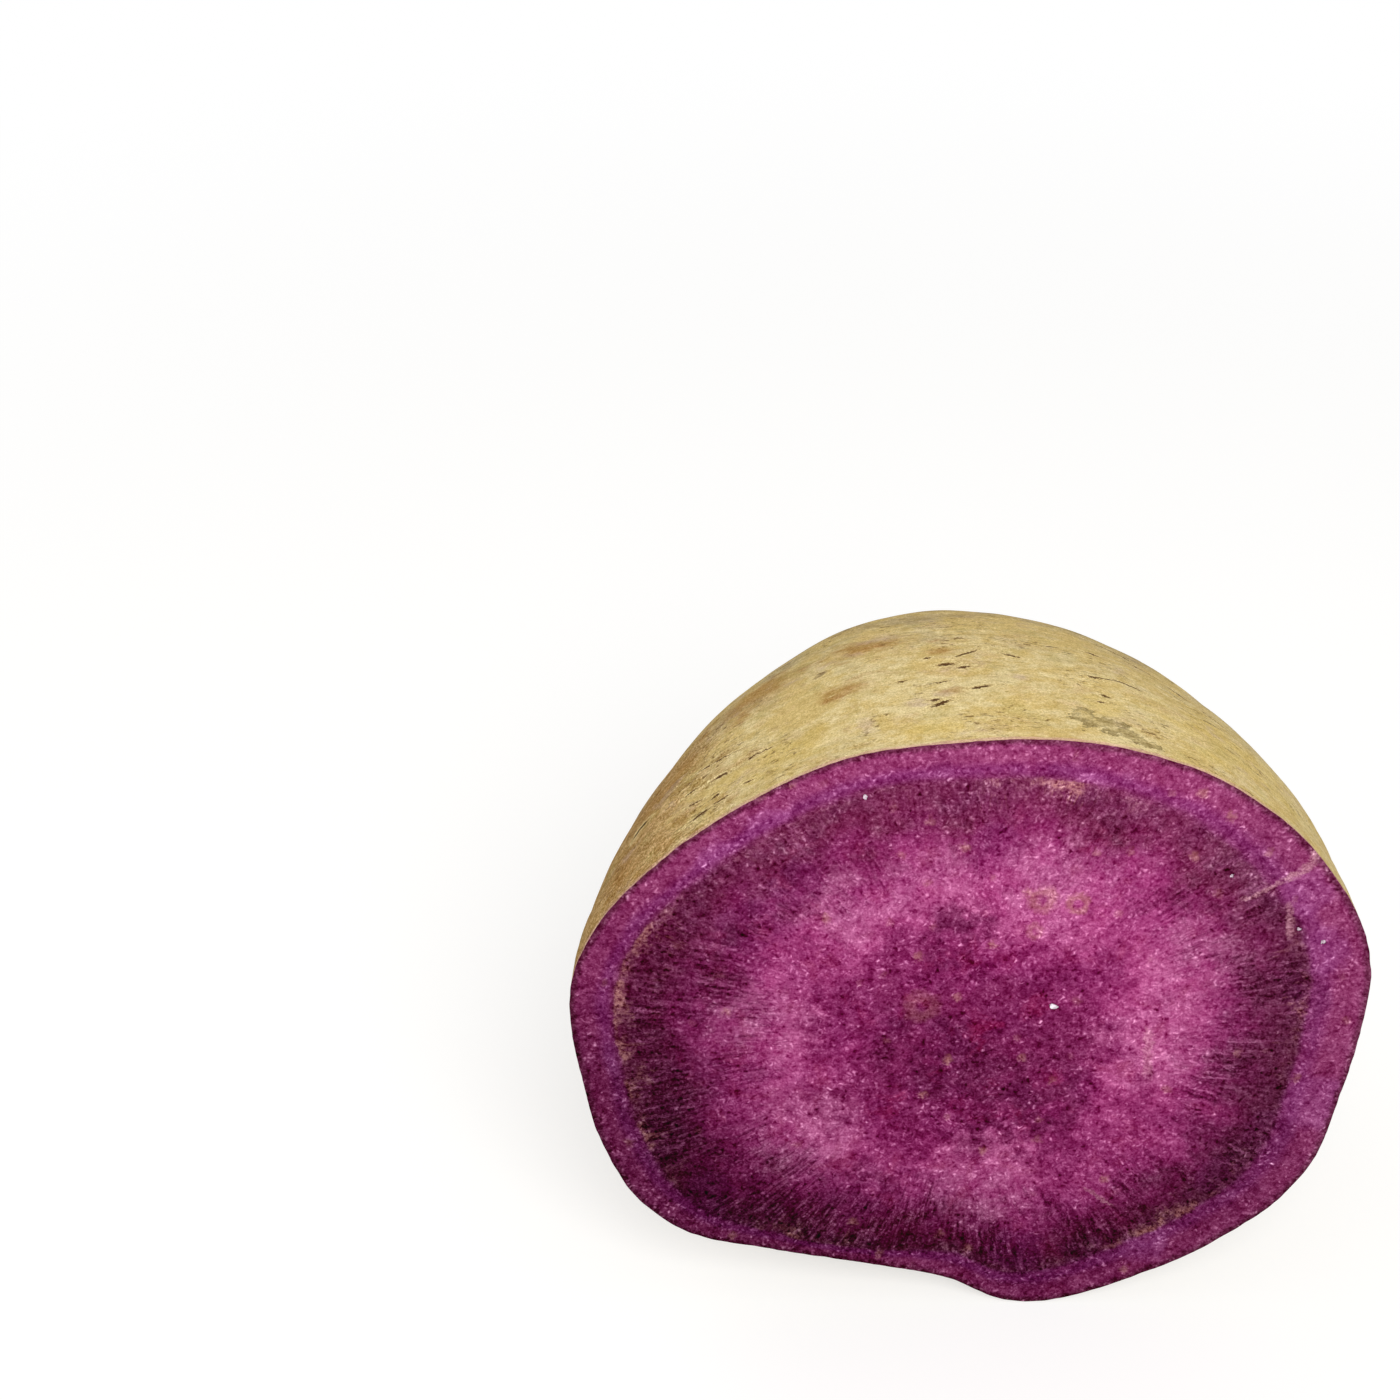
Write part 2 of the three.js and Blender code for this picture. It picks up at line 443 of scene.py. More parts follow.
def add_cut(plan, body, rim, edge, settings):
    """Adds the cut from its edge to its middle. Its two outermost rings are narrow, for a crisp edge."""
    middle = body.middle
    turn = np.arange(len(edge)) / len(edge)
    reach = np.linalg.norm(edge - middle, axis=1)
    mean = reach.mean()
    narrow = [1 - gap * MM / mean for gap in (0.15, 0.42)]
    shares = [*narrow, *np.linspace(1, 0, int(mean / settings.cut_step))[1:-1]]
    disc = middle + np.array(shares)[:, None, None] * (edge - middle)
    counts = ring_counts(np.concatenate([edge[None], disc]))[1:]
    rings = GrowthRings(body, edge, middle)
    outer = rim
    for points, share, count in zip(disc, shares, counts):
        keep = slice(None, None, len(edge) // count)
        gap = (1 - share) * reach[keep]
        points = points[keep]
        place = rings.place(points, keep, gap)
        points = points + np.outer(cut_relief(body, points, place), body.back)
        ring = plan.add_ring(points, ring=place, rim_gap=gap, along=0, turn=turn[keep], share=0)
        plan.add_faces(outer, ring, flip=False)
        outer = ring
    core = rings.place(middle[None], slice(0, 1), mean)
    tip = middle + cut_relief(body, middle[None], core) * body.back
    centre = plan.add_ring([tip], ring=core, rim_gap=mean, along=0, turn=0, share=0)
    plan.add_fan(outer, centre[0], flip=False)


def build_mesh(body, settings):
    """The whole mesh, with the number of faces on the skin and the points on the cut's edge."""
    plan = MeshPlan()
    grid, run = skin_grid(body, settings)
    rim = add_skin(plan, grid, run)
    skin_faces = len(plan.faces)
    add_cut(plan, body, rim, grid[0], settings)
    return plan, skin_faces, rim


def unwrapped(body, plan, skin_faces, mesh):
    """Map places for every face corner: the skin is a strip, split underneath, and the cut is a disc."""
    corner = np.empty(len(mesh.loops), dtype=np.int64)
    mesh.loops.foreach_get("vertex_index", corner)
    sizes = np.array([len(face) for face in plan.faces])
    face_of = np.repeat(np.arange(len(sizes)), sizes)
    turn = (np.array(plan.values["turn"])[corner] + 0.25) % 1.0
    share = np.array(plan.values["share"])[corner]
    tip = share > 0.9999
    starts = np.concatenate([[0], np.cumsum(sizes)[:-1]])
    high = np.maximum.reduceat(np.where(tip, 0, turn), starts)
    low = np.minimum.reduceat(np.where(tip, 1, turn), starts)
    crossing = (high - low > 0.5)[face_of]
    turn = np.where(crossing & (turn < 0.5), turn + 1, turn)
    turn_sum = np.add.reduceat(np.where(tip, 0, turn), starts)
    others = np.add.reduceat((~tip).astype(float), starts)
    turn = np.where(tip, (turn_sum / others)[face_of], turn)
    strip = np.stack([turn, share], axis=-1) * STRIP_SIZE + STRIP_CORNER
    place = np.array(plan.points)[corner] - body.middle
    disc = np.stack([place @ body.right, place @ body.up], axis=-1) * DISC_SCALE + DISC_MIDDLE
    return np.where((face_of < skin_faces)[:, None], strip, disc)


def grow_body(settings):
    """The whole half as one closed mesh object."""
    body = CutBody(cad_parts[NODE])
    plan, skin_faces, rim = build_mesh(body, settings)
    mesh = bpy.data.meshes.new("sweet_potato")
    mesh.from_pydata([tuple(p) for p in plan.points], [], plan.faces)
    for name in ("ring", "rim_gap", "along"):
        values = mesh.attributes.new(name, "FLOAT", "POINT")
        values.data.foreach_set("value", np.array(plan.values[name], dtype=np.float32))
    uv = mesh.uv_layers.new(name="OFBake")
    uv.uv.foreach_set("vector", unwrapped(body, plan, skin_faces, mesh).astype(np.float32).ravel())
    finish = np.zeros(len(plan.faces), dtype=np.int32)
    finish[skin_faces:] = 1
    mesh.polygons.foreach_set("material_index", finish)
    mesh.shade_smooth()
    on_rim = set(rim)
    for edge in mesh.edges:
        a, b = edge.vertices
        if a in on_rim and b in on_rim:
            edge.use_edge_sharp = True
    mesh.validate()
    piece = bpy.data.objects.new("sweet_potato", mesh)
    bpy.context.scene.collection.objects.link(piece)
    return piece, body


# ---- Finishes ----


class Wire:
    """A socket in a material. Arithmetic on it adds Math nodes."""

    def __init__(self, paint, socket):
        self.paint = paint
        self.socket = socket

    def maths(self, operation, *values):
        return self.paint.node("ShaderNodeMath", {"operation": operation}, dict(enumerate(values)))

    def __add__(self, other):
        return self.maths("ADD", self, other)

    def __sub__(self, other):
        return self.maths("SUBTRACT", self, other)

    def __rsub__(self, other):
        return self.maths("SUBTRACT", other, self)

    def __mul__(self, other):
        return self.maths("MULTIPLY", self, other)

    def __truediv__(self, other):
        return self.maths("DIVIDE", self, other)

    def __pow__(self, other):
        return self.maths("POWER", self, other)

    def __abs__(self):
        return self.maths("ABSOLUTE", self)

    __radd__ = __add__
    __rmul__ = __mul__

    def rise(self, low, high, start=0.0, end=1.0):
        """A smooth step from start to end as the value goes from low to high."""
        sockets = {"Value": self, "From Min": low, "From Max": high, "To Min": start, "To Max": end}
        return self.paint.node("ShaderNodeMapRange", {"interpolation_type": "SMOOTHSTEP"}, sockets)

    def hump(self, middle, width):
        """1 where the value is at the middle, falling smoothly to 0 at that width either side."""
        return abs(self - middle).rise(0, width, 1, 0)


def squared(across, up):
    """The square of a place's distance from the middle of two coordinates."""
    return across * across + up * up


def spots(across, up, places):
    """Soft round masks added together, from (across, up, reach) triples."""
    return sum(squared(across - x, up - y).rise(0, reach * reach, 1, 0) for x, y, reach in places)


def stroke(across, up, start, end, width):
    """A mask along a straight line in the plane of two coordinates, thinning to its ends."""
    run = (end[0] - start[0], end[1] - start[1])
    size = math.hypot(*run)
    along = ((across - start[0]) * run[0] + (up - start[1]) * run[1]) / size
    aside = ((across - start[0]) * run[1] - (up - start[1]) * run[0]) / size
    return abs(aside).rise(width * 0.3, width, 1, 0) * along.hump(size / 2, size / 2).rise(0, 0.4)


class Paint:
    """The nodes of a material or a world, and short ways to add to them. Sizes are in millimetres."""

    def __init__(self, owner):
        self.owner = owner
        owner.use_nodes = True
        self.tree = owner.node_tree
        self.tree.nodes.clear()

    @staticmethod
    def _socket(sockets, key):
        if isinstance(key, int):
            return sockets[key]
        return next(s for s in sockets if key in (s.identifier, s.name) and s.enabled)

    def node(self, kind, settings=None, sockets=None, out=0):
        """Adds a node: its settings first, then a value or a link for each socket. Gives one output."""
        made = self.tree.nodes.new(kind)
        for key, value in (settings or {}).items():
            if key == "stops":
                self._set_stops(made.color_ramp, value)
            else:
                setattr(made, key, value)
        for key, value in (sockets or {}).items():
            socket = self._socket(made.inputs, key)
            if isinstance(value, Wire):
                self.tree.links.new(value.socket, socket)
            else:
                socket.default_value = value
        return Wire(self, self._socket(made.outputs, out))

    @staticmethod
    def _set_stops(ramp, stops):
        while len(ramp.elements) < len(stops):
            ramp.elements.new(1)
        for element, (position, tint) in zip(ramp.elements, stops):
            element.position = position
            element.color = (*tint, 1)

    def value_of(self, name):
        return self.node("ShaderNodeAttribute", {"attribute_name": name}, out="Fac")

    def vector(self, x, y, z):
        return self.node("ShaderNodeCombineXYZ", None, {0: x, 1: y, 2: z})

    def vectors(self, operation, first, second=(0, 0, 0), out="Vector"):
        return self.node("ShaderNodeVectorMath", {"operation": operation}, {0: first, 1: second}, out=out)

    def scaled(self, place, factor):
        return self.node("ShaderNodeVectorMath", {"operation": "SCALE"}, {0: place, "Scale": factor})

    def noise(self, place, size, detail=2.0, roughness=0.5, distortion=0.0, kind="FBM"):
        sockets = {
            "Vector": place, "Scale": 1 / size, "Detail": detail, "Roughness": roughness,
            "Distortion": distortion,
        }
        return self.node("ShaderNodeTexNoise", {"noise_type": kind}, sockets, out="Fac")

    def ruffled(self, place, size, reach):
        """The place moved about by noise of that size, by up to about the reach each way."""
        sockets = {"Vector": place, "Scale": 1 / size, "Detail": 2.0, "Roughness": 0.7}
        stir = self.node("ShaderNodeTexNoise", None, sockets, out="Color")
        stir = self.scaled(self.vectors("SUBTRACT", stir, (0.5, 0.5, 0.5)), 4 * reach)
        return self.vectors("ADD", place, stir)

    def cells(self, place, size, out="Distance"):
        return self.node("ShaderNodeTexVoronoi", None, {"Vector": place, "Scale": 1 / size}, out=out)

    def lot(self, place, size):
        """A number from 0 to 1 that is the same all over each cell."""
        return self.node("ShaderNodeSeparateColor", None, {0: self.cells(place, size, out="Color")})

    def chosen_cells(self, place, size, edge, lots):
        """Round specks in some of the cells: their soft edge, and the lots that have one."""
        return self.cells(place, size).rise(*edge) * self.lot(place, size).rise(*lots)

    def blend(self, factor, first, second):
        sockets = {"Factor_Float": factor, "A_Color": self._tint(first), "B_Color": self._tint(second)}
        return self.node("ShaderNodeMix", {"data_type": "RGBA"}, sockets, out="Result_Color")

    @staticmethod
    def _tint(tint):
        return tint if isinstance(tint, Wire) else (*tint, 1)

    def shifted(self, base, amount):
        """The colour made lighter or darker by the same displayed amount in every channel."""
        shown = self.node("ShaderNodeGamma", None, {"Color": base, "Gamma": 1 / 2.2})
        shown = self.vectors("ADD", shown, self.vector(amount, amount, amount))
        shown = self.vectors("MAXIMUM", shown)
        return self.node("ShaderNodeGamma", None, {"Color": shown, "Gamma": 2.2})

    def ramp(self, value, stops):
        return self.node("ShaderNodeValToRGB", {"stops": stops}, {"Fac": value}, out="Color")

    def put_out(self, surface, kind="ShaderNodeOutputMaterial"):
        made = self.tree.nodes.new(kind)
        self.tree.links.new(surface.socket, made.inputs["Surface"])
        return self.owner


class Finish(Paint):
    """A material that is built up by laying one tint after another over the colour so far.

    `right`, `up` and `back` are a point's place in millimetres from the middle of the cut; `rightward` and
    `upward` are its direction round that middle.
    """

    def __init__(self, name, body, tints):
        super().__init__(bpy.data.materials.new(name))
        self.tints = tints
        self.base = None
        place = self.node("ShaderNodeTexCoord", out="Object")
        place = self.scaled(self.vectors("SUBTRACT", place, tuple(body.middle)), 1 / MM)
        self.right, self.up, self.back = [
            self.vectors("DOT_PRODUCT", place, tuple(axis), out="Value")
            for axis in (body.right, body.up, body.back)
        ]
        radius = (squared(self.right, self.up) + 0.01) ** 0.5
        self.rightward = self.right / radius
        self.upward = self.up / radius

    def lay(self, factor, name, darkening=1.0):
        """Lays one of the settings' tints over the colour so far."""
        tint = darker(getattr(self.tints, name), darkening)
        self.base = self.blend(factor, self.base, tint)

    def join(self, roughness, height, bump_depth, specular):
        """Joins colour, roughness and relief to the surface shader."""
        relief = {"Strength": 1.0, "Distance": bump_depth * MM, "Height": height}
        sockets = {
            "Base Color": self.base,
            "Roughness": roughness,
            "Normal": self.node("ShaderNodeBump", None, relief),
            "Specular IOR Level": specular,
        }
        return self.put_out(self.node("ShaderNodeBsdfPrincipled", None, sockets))


# ---- The flesh ----

# Soft patches on the cut, in millimetres from its middle: to the right, up, and how far each reaches.
BRIGHT_CLOUDS = (
    (7, 17, 10), (-14, 15, 7), (-22, 1, 8), (-18, -13, 9), (2, -19, 9), (19, -2, 9), (22, 9, 8), (-5, 18, 7),
)
VIOLET_CLOUDS = (
    (-28, -21, 4), (-24, 13, 4.5), (-19, 18, 4), (35, 4, 3.5), (32.5, -13, 4), (28, -19, 4), (6, -29, 4.5),
    (1, 22, 4.5),
)
LILAC_CLOUDS = (
    (-36, -3, 4.5), (-34, 6, 5), (-26, 20, 5), (-33, -16, 3), (37, -9, 5), (36, 10, 4), (33, 17, 4),
    (-22, 24, 4), (20, -28, 4), (10, 27, 5),
)
DARK_CLOUDS = ((4, -8, 12), (-6, -2, 8), (-2, 12, 6), (-12, -22, 7), (-33, -6, 9))
GRAINS = ((8.2, 3.2, 0.5), (-12.5, 28.3, 0.3), (33.0, 12.8, 0.3), (35.6, 11.2, 0.4), (25.4, 19.2, 0.3))
# Rings left by strands of vessels: to the right, up, reach and clarity.
RING_SPOTS = ((6.4, 16.4, 1.9, 0.45), (9.8, 15.8, 1.5, 0.5), (-5.8, 3.2, 2.3, 0.16), (5.6, 12.6, 1.2, 0.3))
# Pale traces of finer roots: where each starts, where it ends, its width and its clarity.
ROOT_TRACES = (
    ((26.0, 15.9), (31.4, 18.6), 0.35, 0.7), ((30.2, 18.2), (33.9, 21.0), 0.6, 0.75),
    ((33.0, 20.4), (34.2, 22.6), 0.7, 0.6), ((31.6, 16.6), (32.3, 11.0), 0.55, 0.55),
    ((18.4, 1.5), (18.9, -7.0), 0.8, 0.3), ((12.6, -20.2), (17.0, -23.4), 0.3, 0.4),
)
# Where the cambium's pale line shows: the direction from the middle and the spread either side, in degrees.
CAMBIUM_SHOWS = ((190, 24), (6, 18), (-44, 20), (165, 12), (78, 18), (-122, 12))


class Flesh(Finish):
    """The moist cut. `ring` is 0 in the middle, 1 on the cambium and 2 at the skin."""

    def __init__(self, body, tints):
        super().__init__("moist_flesh", body, tints)
        self.ring = self.value_of("ring")
        self.inner = self.ring.rise(0.8, 1.0, 1, 0.4)
        # Noise has a visible flaw where its coordinates are all 0, so it is read away from there.
        self.flat = self.vector(self.right + 61.3, self.up + 47.9, 5.4)
        self.clouds = self.noise(self.flat, 7, 4, 0.6)
        self.puffs = self.noise(self.flat, 2.2, 6, 0.75)
        self.drift = self.noise(self.flat, 3.2, 3, 0.55)
        self.felt = self.noise(self.flat, 0.9, 5, 0.75)
        self.nap = self.noise(self.flat, 0.3, 2, 0.7, 0.6)

    def lay_rings(self):
        """Growth rings, with edges that wander inside the cambium. Gives the wandering rings."""
        drifted = (self.clouds - 0.5) * 0.55 + (self.drift - 0.5) * 0.35 + (self.puffs - 0.5) * 0.2
        place = self.ring + drifted * self.inner
        place = place + self.rightward * self.ring.hump(0.4, 0.3) * 0.06
        tints = self.tints
        # Each stop is at half its ring, because a ramp ends at 1 and the rings end at 2.
        self.base = self.ramp(place / 2, (
            (0.00, tints.core), (0.14, tints.core), (0.21, shade(144, 46, 102)), (0.28, tints.bloom),
            (0.34, shade(166, 62, 122)), (0.40, shade(132, 34, 90)), (0.46, tints.band),
            (0.503, darker(tints.band, 0.45)), (0.53, shade(88, 18, 66)), (0.575, shade(124, 36, 98)),
            (0.66, shade(130, 40, 104)), (0.76, tints.cortex), (0.92, tints.cortex),
            (1.00, shade(112, 30, 74)),
        ))
        return place

    def lay_clouds(self):
        """Bright clouds in the bloom, plainer flesh between them, and dark clouds in the core."""
        puffs, drift = self.puffs, self.drift
        bright = spots(self.right, self.up, BRIGHT_CLOUDS)
        plain = (bright + (puffs - 0.5) * 1.5).rise(0, 0.7, 0.5, 0) * self.ring.hump(0.48, 0.3)
        self.lay(plain, "plain")
        self.lay((bright * (puffs * 1.6 + drift * 2.4 - 1.3)).rise(0.1, 1.0) * 0.58, "cloud")
        dark = spots(self.right, self.up, DARK_CLOUDS)
        self.lay((dark * (2.5 - puffs * 0.8 - drift * 3)).rise(0.1, 1.0) * 0.45, "soot")

    def lay_stains(self):
        """Stains of violet, lilac and red."""
        ragged = (self.puffs - 0.5) * 1.4
        violet = self.noise(self.flat, 4.0, 4, 0.65).rise(0.46, 0.6)
        self.lay(violet * abs(self.ring - 1.25).rise(0.1, 0.45, 0.35, 0.12), "violet")
        violet = (spots(self.right, self.up, VIOLET_CLOUDS) + ragged).rise(0.25, 0.75)
        self.lay(violet * self.ring.rise(0.6, 1, 0.15, 1) * 0.5, "violet")
        lilac = (spots(self.right, self.up, LILAC_CLOUDS) + ragged).rise(0.2, 0.8)
        self.lay(lilac * self.ring.rise(1.0, 1.1) * 0.5, "lilac")
        red = self.noise(self.flat, 4.2, 4, 0.7, 0.4).rise(0.53, 0.7)
        self.lay(red * 0.5 * self.inner, "red")

    def lay_dark_ring(self, place):
        """The dark ring, deepest at the sides and below, and its haze above. Gives how deep the ring is."""
        sides = self.upward.rise(0.1, 0.85, 1, 0) * self.upward.rise(-0.95, -0.6, 0.4, 1)
        sides = sides * self.rightward.rise(-0.3, 0.7, 0.8, 1)
        deep = place.rise(0.68, 0.97) * place.rise(1.02, 1.14, 1, 0) * sides
        self.lay(deep * 0.55, "shadow")
        above = (self.upward - self.rightward * 0.5).rise(-0.3, 0.7, 0.15, 1)
        above = above * self.drift.rise(0.35, 0.65, 0.9, 0.5)
        self.lay(self.ring.hump(1.05, 0.2) * above, "haze")
        return deep

    def lay_rays(self):
        """Rays that run from the middle to the skin. Gives their pattern and where it shows."""
        stir = self.puffs * 4
        spoke = self.vector(self.rightward * 70 + stir, self.upward * 70 + stir, self.ring * 8)
        rays = self.noise(spoke, 1, 4, 0.7)
        zone = self.ring.rise(0.4, 0.8) * self.ring.rise(1.0, 1.3, 1, 0.3)
        zone = zone * self.clouds.rise(0.42, 0.58, 0.3, 1) * self.up.rise(0, 30, 1, 0.4)
        self.lay(rays.rise(0.52, 0.66) * zone * 0.25, "ray")
        self.lay(rays.rise(0.5, 0.34) * zone * 0.4, "shadow")
        return rays, zone

    def lay_flecks(self):
        """Starchy flecks. Gives the warped places that the flecks follow."""
        stir = self.nap * 0.6
        warped = self.vector(self.right + self.puffs * 2.5 + stir, self.up + self.felt * 2.5 + stir, 5.4)
        self.lay(self.chosen_cells(warped, 3.4, (0.24, 0.02), (0.5, 0.6)) * 0.5, "starch")
        return warped

    def lay_cambium(self):
        """The cambium: a pale line that shows in places, with a comb of dashes on its inner side."""
        parts = []
        for angle, spread in CAMBIUM_SHOWS:
            turn = math.radians(angle)
            toward = self.rightward * math.cos(turn) + self.upward * math.sin(turn)
            parts.append(toward.rise(math.cos(math.radians(spread)), 1))
        showing = self.noise(self.flat, 4.5, 3, 0.6).rise(0.42, 0.6, 0.1, 1)
        showing = showing * (sum(parts) + 0.12)
        comb = self.noise(self.vector(self.rightward * 80, self.upward * 80, self.ring * 14), 1, 3, 0.7)
        comb = comb.rise(0.54, 0.68) * self.ring.hump(0.97, 0.1) * showing
        self.lay(comb * 0.42, "starch")
        wander = self.ring + (self.puffs - 0.5) * 0.3
        line = wander.hump(1.03, 0.085) * showing * (self.felt + self.nap).rise(0.85, 1.1, 0.3, 1)
        self.lay(line * 0.7, "starch")

    def lay_cork_line(self):
        """The line of cork at the cut's edge, and the stained flesh beside it."""
        gap = self.value_of("rim_gap") * (1 / MM)
        uneven = gap + (self.felt - 0.5) * 1.6 + (self.clouds - 0.5) * 1.2
        self.lay(uneven.rise(0.1, 1.1, 1, 0) * 0.4, "stained")
        line = uneven.rise(0.15, 0.85, 1, 0) * self.clouds.rise(0.4, 0.6, 0.7, 1)
        self.lay(line, "rim")

    def lay_traces(self):
        """Marks where finer roots and vessels ran, and loose grains. Gives where the grains lie."""
        puffed = (self.puffs - 0.5) * 3
        across = self.right + (self.felt - 0.5) * 2
        above = self.up + puffed
        worn = self.nap.rise(0.3, 0.6, 0.4, 1)
        for start, end, width, clarity in ROOT_TRACES:
            self.lay(stroke(across, above, start, end, width) * worn * clarity, "trace")
        for x, y, reach, clarity in RING_SPOTS:
            away = squared(self.right - x, self.up - y) ** 0.5 + puffed
            self.lay(away.hump(reach * 0.55, reach * 0.5) * clarity, "starch")
        across = self.right + (self.puffs - 0.5) * 1.2
        above = self.up + (self.felt - 0.5) * 1.5
        grains = spots(across, above, GRAINS).rise(0.3, 0.5)
        self.lay(grains, "grain")
        return grains

    def lay_pigment_and_light_slope(self):
        """Darker towards the lower left and paler towards the upper right, partly pigment and partly painted
        shade and painted light; darker again on the right and at the lower left.
        """
        # Painted shade and light, partly pigment: shade towards the lower left, light towards the upper
        # right.
        pigment_and_light = ((self.right * 0.4 + self.up * 0.92) / 38).rise(-1.1, 1.1, 0, 1)
        outer = self.ring.rise(0.2, 0.9, 0.2, 1)
        self.lay(outer * (1 - pigment_and_light) * 0.58, "shadow")
        flanks = self.right.rise(18, 30) * 0.2 + (self.right + self.up).rise(-34, -46) * 0.25
        self.lay(flanks, "shadow")
        # Painted light, partly pigment: the upper right laid paler.
        self.lay(outer * pigment_and_light * 0.15, "cloud")

    def tufted(self, deep, rays, zone, warped):
        """Lightens and darkens the colour with the nap of torn cells: partly its own tone, partly painted
        light and shade of its fine relief. Gives its curled fibres.
        """
        tufts = self.noise(self.flat, 1.6, 4, 0.75).rise(0.42, 0.6, 0.25, 1)
        tufts = tufts * (1 - deep * 0.65)
        # The pale fibres are painted highlights on the torn cells.
        fibres = self.noise(self.flat, 0.5, 3, 0.8, 0.5, "RIDGED_MULTIFRACTAL") * tufts
        elsewhere = self.vector(self.right + 33.7, self.up + 81.1, 9.7)
        # Painted shade in the pits between the cells.
        pits = self.noise(elsewhere, 0.55, 3, 0.8, 0.5, "RIDGED_MULTIFRACTAL") * (1.15 - tufts)
        # Painted glints: small bright specks where moist cells would catch the light.
        painted_glint = self.chosen_cells(warped, 1.4, (0.14, 0.05), (0.7, 0.8))
        shift = (self.puffs - 0.5) * 0.36 + (self.felt - 0.5) * (1 - zone * 0.5) * 0.6
        shift = shift + (self.nap - 0.5) * 0.35 + (rays - 0.5) * zone * 0.8 + fibres * 0.66
        shift = shift - pits * self.ring.rise(1.0, 1.3, 0.42, 0.25) + painted_glint * 0.2
        vivid = {"Saturation": 1.02, "Value": 1.06, "Color": self.base}
        self.base = self.node("ShaderNodeHueSaturation", None, vivid, out="Color")
        self.base = self.shifted(self.base, shift - 0.01)
        return fibres

    def painted(self):
        """The finished material."""
        place = self.lay_rings()
        self.lay_clouds()
        self.lay_stains()
        deep = self.lay_dark_ring(place)
        rays, zone = self.lay_rays()
        warped = self.lay_flecks()
        self.lay_cambium()
        self.lay_cork_line()
        grains = self.lay_traces()
        self.lay_pigment_and_light_slope()
        fibres = self.tufted(deep, rays, zone, warped)
        height = self.felt + fibres * 0.3 + rays * zone * 0.5 + grains * 4
        roughness = self.felt.rise(0.35, 0.65, 0.38, 0.6)
        return self.join(roughness, height, bump_depth=0.1, specular=0.03)


# ---- The skin ----

# Marks on the skin, each an ellipse: its direction round the cut in degrees, how far it lies behind the cut,
# its half length round the body and its half width in millimetres, and its tilt in degrees.
CRACKS = (
    (140, 3.6, 1.08, 0.17, 6), (136, 9.1, 0.8, 0.18, -7), (136, 3.9, 0.64, 0.13, 0),
    (137, 5.4, 0.32, 0.13, 12), (142, 9.8, 0.48, 0.11, 5), (141, 6.8, 0.64, 0.11, -16),
    (131, 4.4, 0.4, 0.13, -11), (130, 9.6, 0.48, 0.14, 20), (128, 9.7, 0.81, 0.08, 0),
    (137, 13, 2.34, 0.07, -9), (97, 8.4, 0.88, 0.21, 30), (98, 9.2, 0.4, 0.21, 7),
    (90, 11.4, 0.76, 0.18, 12), (95, 17.2, 0.68, 0.24, 13), (92, 16.4, 0.56, 0.21, 23),
    (98, 19, 0.32, 0.17, 20), (91, 20, 1.12, 0.13, 38), (103, 14, 0.36, 0.14, 7),
    (97, 12.9, 1.08, 0.07, 15), (83, 19.7, 0.8, 0.13, -30), (70, 16, 0.44, 0.17, -11),
    (68, 16.4, 1.2, 0.11, 12), (63.5, 16.6, 1.28, 0.14, -14), (67, 24.9, 0.56, 0.15, -10),
    (69, 11.8, 0.4, 0.17, -19), (70, 10, 0.36, 0.11, 15), (53, 20.4, 0.48, 0.15, -40),
    (48, 16.1, 1.04, 0.11, 14), (22, 24, 1.44, 0.15, 8), (-8, 12, 0.88, 0.13, 0), (170, 26, 1.28, 0.16, 5),
    (196, 15, 1.68, 0.13, -6), (60, 31, 1.6, 0.14, -24), (56, 27, 1.8, 0.12, -28),
    (51, 23.5, 1.3, 0.12, -32), (45, 20, 1.4, 0.12, -36),
)
# Raised flakes beside the cracks, painted pale as highlights, in the same columns as the cracks.
FLAKE_HIGHLIGHTS = (
    (96.5, 8.9, 0.9, 0.14, 28), (98, 9.6, 0.5, 0.12, 5), (94, 7.7, 0.8, 0.12, 20),
    (90, 11.9, 0.9, 0.12, 12), (95, 17.8, 0.8, 0.14, 13), (92, 16.9, 0.6, 0.14, 23),
    (68, 16.9, 1.3, 0.1, 12), (70, 16.5, 0.6, 0.12, -11), (140, 4.1, 1.1, 0.12, 6),
    (136, 9.6, 0.9, 0.12, -7), (154, 12.7, 0.9, 0.22, 30), (82, 20.1, 0.9, 0.12, -30),
    (99, 23.2, 1.0, 0.14, 8), (95, 24.8, 0.8, 0.12, -10), (112, 13.5, 0.9, 0.14, 14),
    (115, 14.8, 0.8, 0.12, 10),
)
NOTCHES = ((154, 11.9, 0.8, 0.4, 40), (152.3, 12.0, 1.0, 0.38, -9), (205, 33.0, 1.6, 0.3, 25))
SCARS = (
    (94.5, 11.0, 1.7, 0.9, 10), (96, 24.0, 1.1, 0.5, 0), (113, 14.1, 0.9, 0.35, 14),
    (30, 33.0, 1.9, 0.9, 20), (150, 38.0, 1.5, 1.0, 0),
)
SCUFF = (
    (73.8, 6.0, 1.5, 1.6, 0), (72.0, 4.8, 1.5, 1.5, 0), (69.6, 4.4, 1.7, 1.6, 0), (67.6, 3.4, 1.3, 1.4, 0),
    (65.8, 2.6, 1.3, 1.0, 0), (64, 2.2, 1.2, 0.9, 0),
)
TAN_PATCHES = (
    (149, 18, 10, 8, 0), (128, 24, 8, 7, 0), (108, 25, 8, 4, 0), (112, 15, 4, 3, 0), (157, 6, 4, 6, 0),
    (95, 21, 3, 2, 0),
)
MAUVE_PATCHES = (
    (110, 6.4, 1.6, 2.4, 0), (83, 13.9, 1.6, 1.3, 0), (101, 9.0, 2.2, 1.6, 0), (96, 10.5, 2.5, 1.2, 0),
    (105, 27, 4, 2.2, 0), (40, 30, 5, 3, 0),
)
YELLOW_PATCHES = ((70, 9, 4, 4, 0), (125, 7, 9, 5, 0), (48, 10, 16, 9, 0), (99, 3.5, 4, 2, 0))


